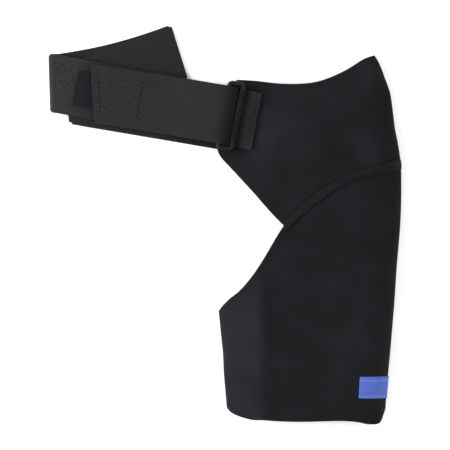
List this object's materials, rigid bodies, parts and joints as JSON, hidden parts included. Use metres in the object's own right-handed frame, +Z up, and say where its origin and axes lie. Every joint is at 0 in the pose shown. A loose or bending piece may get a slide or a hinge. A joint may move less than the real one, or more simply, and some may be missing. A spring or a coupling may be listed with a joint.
{
  "type": "shoulder brace",
  "caption": "Black neoprene shoulder brace lying flat, arm sleeve and shoulder cap with a folded elastic strap through a ring.",
  "frame": {"origin": "middle of the brace's bounding box on the surface it lies on", "axes": "+Z up from that surface through both layers, +Y along the sleeve from the hem to the neck edge, -X to the strap"},
  "size_m": [0.3056, 0.3476, 0.0341],
  "materials": {
    "neoprene": "matt knitted face",
    "tape": "matt woven",
    "webbing": "matt woven",
    "elastic": "ribbed",
    "hook_and_loop": "napped",
    "ring": "satin",
    "label": "woven satin"
  },
  "bodies": {
    "root": {"arm_sleeve": "neoprene", "shoulder_cap": "neoprene", "seam_tape": "tape", "anchor_tab": "webbing", "strap_ring": "ring", "strap": "elastic", "fastening_patch": "hook_and_loop", "end_patch": "hook_and_loop", "label": "label"}
  },
  "joints": []
}
